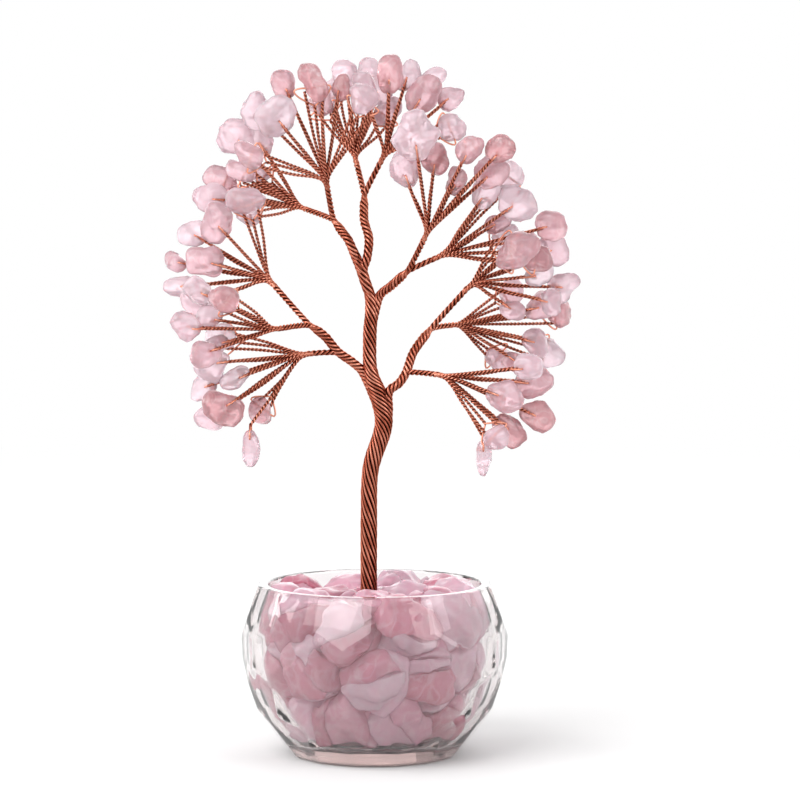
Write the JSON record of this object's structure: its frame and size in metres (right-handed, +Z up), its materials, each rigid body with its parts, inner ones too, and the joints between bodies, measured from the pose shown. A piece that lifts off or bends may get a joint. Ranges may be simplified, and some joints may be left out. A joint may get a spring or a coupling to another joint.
{
  "type": "gemstone tree ornament",
  "caption": "Small ornamental tree of twisted copper wire with drilled rose quartz chips, set in a thick faceted glass bowl full of quartz stones; branches bend by hand.",
  "frame": {"origin": "middle of the bowl's flat underside", "axes": "+Z up along the bowl's axis, -Y the front that the picture shows, +X to the viewer's right"},
  "size_m": [0.1059, 0.0656, 0.1754],
  "materials": {
    "glass": "clear, fire polished",
    "resin": "clear casting resin",
    "copper_wire": "bright annealed copper",
    "chip_quartz": "tumbled, polished",
    "bowl_quartz": "tumbled, polished"
  },
  "bodies": {
    "pot": {"glass_bowl": "glass", "resin_bed": "resin", "root_wires": "copper_wire", "trunk": "copper_wire", "bottom_stones": "bowl_quartz", "middle_stones": "bowl_quartz", "top_stones": "bowl_quartz", "collar_stones": "bowl_quartz"},
    "left_limb": {"left_branch": "copper_wire"},
    "right_limb": {"right_branch": "copper_wire"},
    "high_right_limb": {"high_right_branch": "copper_wire"},
    "shoulder_limb": {"shoulder_branch": "copper_wire"},
    "crown_limb": {"crown_branch": "copper_wire"},
    "left_lower_spray": {"left_lower_stem": "copper_wire", "left_lower_twigs": "copper_wire", "left_lower_chips": "chip_quartz"},
    "left_lower_drop": {"left_lower_drop_chip": "chip_quartz"},
    "left_middle_spray": {"left_middle_stem": "copper_wire", "left_middle_twigs": "copper_wire", "left_middle_chips": "chip_quartz"},
    "left_upper_spray": {"left_upper_stem": "copper_wire", "left_upper_twigs": "copper_wire", "left_upper_chips": "chip_quartz"},
    "shoulder_side_spray": {"shoulder_side_stem": "copper_wire", "shoulder_side_twigs": "copper_wire", "shoulder_side_chips": "chip_quartz"},
    "shoulder_top_spray": {"shoulder_top_stem": "copper_wire", "shoulder_top_twigs": "copper_wire", "shoulder_top_chips": "chip_quartz"},
    "crown_left_spray": {"crown_left_stem": "copper_wire", "crown_left_twigs": "copper_wire", "crown_left_chips": "chip_quartz"},
    "crown_right_spray": {"crown_right_stem": "copper_wire", "crown_right_twigs": "copper_wire", "crown_right_chips": "chip_quartz"},
    "high_right_top_spray": {"high_right_top_stem": "copper_wire", "high_right_top_twigs": "copper_wire", "high_right_top_chips": "chip_quartz"},
    "high_right_side_spray": {"high_right_side_stem": "copper_wire", "high_right_side_twigs": "copper_wire", "high_right_side_chips": "chip_quartz"},
    "right_upper_spray": {"right_upper_stem": "copper_wire", "right_upper_twigs": "copper_wire", "right_upper_chips": "chip_quartz"},
    "right_middle_spray": {"right_middle_stem": "copper_wire", "right_middle_twigs": "copper_wire", "right_middle_chips": "chip_quartz"},
    "right_lower_spray": {"right_lower_stem": "copper_wire", "right_lower_twigs": "copper_wire", "right_lower_chips": "chip_quartz"},
    "right_lower_drop": {"right_lower_drop_chip": "chip_quartz"}
  },
  "joints": [
    {"name": "left_bend", "type": "hinge", "parent": "pot", "child": "left_limb", "pos_m": [-0.00316, 0, 0.09632], "axis": [0, 1, 0], "range_deg": [-10, 10]},
    {"name": "right_bend", "type": "hinge", "parent": "pot", "child": "right_limb", "pos_m": [0.00364, 0, 0.09111], "axis": [0, 1, 0], "range_deg": [-10, 10]},
    {"name": "high_right_bend", "type": "hinge", "parent": "pot", "child": "high_right_limb", "pos_m": [0.00137, 0, 0.11519], "axis": [0, 1, 0], "range_deg": [-10, 10]},
    {"name": "shoulder_bend", "type": "hinge", "parent": "pot", "child": "shoulder_limb", "pos_m": [-0.00637, 0, 0.12884], "axis": [0, 1, 0], "range_deg": [-9, 9]},
    {"name": "crown_bend", "type": "hinge", "parent": "pot", "child": "crown_limb", "pos_m": [-0.00182, 0, 0.12474], "axis": [0, 1, 0], "range_deg": [-8, 8]},
    {"name": "left_lower_fold", "type": "hinge", "parent": "left_limb", "child": "left_lower_spray", "pos_m": [-0.01068, -0.00222, 0.10113], "axis": [0, 1, 0], "range_deg": [-14, 14]},
    {"name": "left_lower_drop_swing", "type": "hinge", "parent": "left_lower_spray", "child": "left_lower_drop", "pos_m": [-0.0306, -0.0104, 0.0804], "axis": [0, 1, 0], "range_deg": [-25, 25]},
    {"name": "left_middle_fold", "type": "hinge", "parent": "left_limb", "child": "left_middle_spray", "pos_m": [-0.01768, -0.00578, 0.10809], "axis": [0, 1, 0], "range_deg": [-14, 14]},
    {"name": "left_upper_fold", "type": "hinge", "parent": "left_limb", "child": "left_upper_spray", "pos_m": [-0.01769, -0.00286, 0.10957], "axis": [0, 1, 0], "range_deg": [-14, 14]},
    {"name": "shoulder_side_fold", "type": "hinge", "parent": "shoulder_limb", "child": "shoulder_side_spray", "pos_m": [-0.01171, 0.00571, 0.13463], "axis": [0, 1, 0], "range_deg": [-14, 14]},
    {"name": "shoulder_top_fold", "type": "hinge", "parent": "shoulder_limb", "child": "shoulder_top_spray", "pos_m": [-0.01065, 0.00252, 0.13581], "axis": [0, 1, 0], "range_deg": [-14, 14]},
    {"name": "crown_left_fold", "type": "hinge", "parent": "crown_limb", "child": "crown_left_spray", "pos_m": [-0.00306, 0.00931, 0.14221], "axis": [0, 1, 0], "range_deg": [-14, 14]},
    {"name": "crown_right_fold", "type": "hinge", "parent": "crown_limb", "child": "crown_right_spray", "pos_m": [-0.00162, 0.00744, 0.14239], "axis": [0, 1, 0], "range_deg": [-14, 14]},
    {"name": "high_right_top_fold", "type": "hinge", "parent": "high_right_limb", "child": "high_right_top_spray", "pos_m": [0.00935, -0.00835, 0.12337], "axis": [0, 1, 0], "range_deg": [-14, 14]},
    {"name": "high_right_side_fold", "type": "hinge", "parent": "high_right_limb", "child": "high_right_side_spray", "pos_m": [0.01057, -0.00654, 0.12266], "axis": [0, 1, 0], "range_deg": [-14, 14]},
    {"name": "right_upper_fold", "type": "hinge", "parent": "right_limb", "child": "right_upper_spray", "pos_m": [0.01584, 0.00757, 0.10841], "axis": [0, 1, 0], "range_deg": [-14, 14]},
    {"name": "right_middle_fold", "type": "hinge", "parent": "right_limb", "child": "right_middle_spray", "pos_m": [0.01591, 0.0096, 0.10689], "axis": [0, 1, 0], "range_deg": [-14, 14]},
    {"name": "right_lower_fold", "type": "hinge", "parent": "right_limb", "child": "right_lower_spray", "pos_m": [0.00936, 0.00098, 0.09593], "axis": [0, 1, 0], "range_deg": [-14, 14]},
    {"name": "right_lower_drop_swing", "type": "hinge", "parent": "right_lower_spray", "child": "right_lower_drop", "pos_m": [0.0271, -0.0036, 0.0769], "axis": [0, 1, 0], "range_deg": [-25, 25]}
  ]
}
